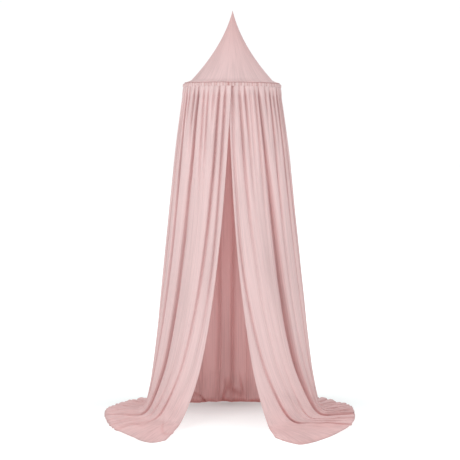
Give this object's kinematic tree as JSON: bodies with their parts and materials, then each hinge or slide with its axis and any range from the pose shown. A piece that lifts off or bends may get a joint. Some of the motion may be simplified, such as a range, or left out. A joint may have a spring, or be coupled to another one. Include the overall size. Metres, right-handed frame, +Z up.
{
  "type": "mosquito net canopy with its hoop",
  "caption": "Hanging canopy: a pointed crown held open by a hoop over a long gathered skirt that parts at the front and pools on the floor.",
  "frame": {"origin": "the point that the canopy hangs from, at the tip of the crown", "axes": "+Z up, the skirt opens towards -Y, +X to the right as seen from the front"},
  "size_m": [1.3363, 1.3029, 2.142],
  "materials": {
    "crown_cloth": "matt closely woven cotton, dusty rose",
    "casing_cloth": "matt closely woven cotton, dusty rose, puckered",
    "hoop_paint": "satin white paint",
    "skirt_cloth": "matt crinkled cotton muslin, dusty rose"
  },
  "bodies": {
    "root": {"crown": "crown_cloth", "casing": "casing_cloth", "hoop": "hoop_paint", "skirt": "skirt_cloth"}
  },
  "joints": []
}
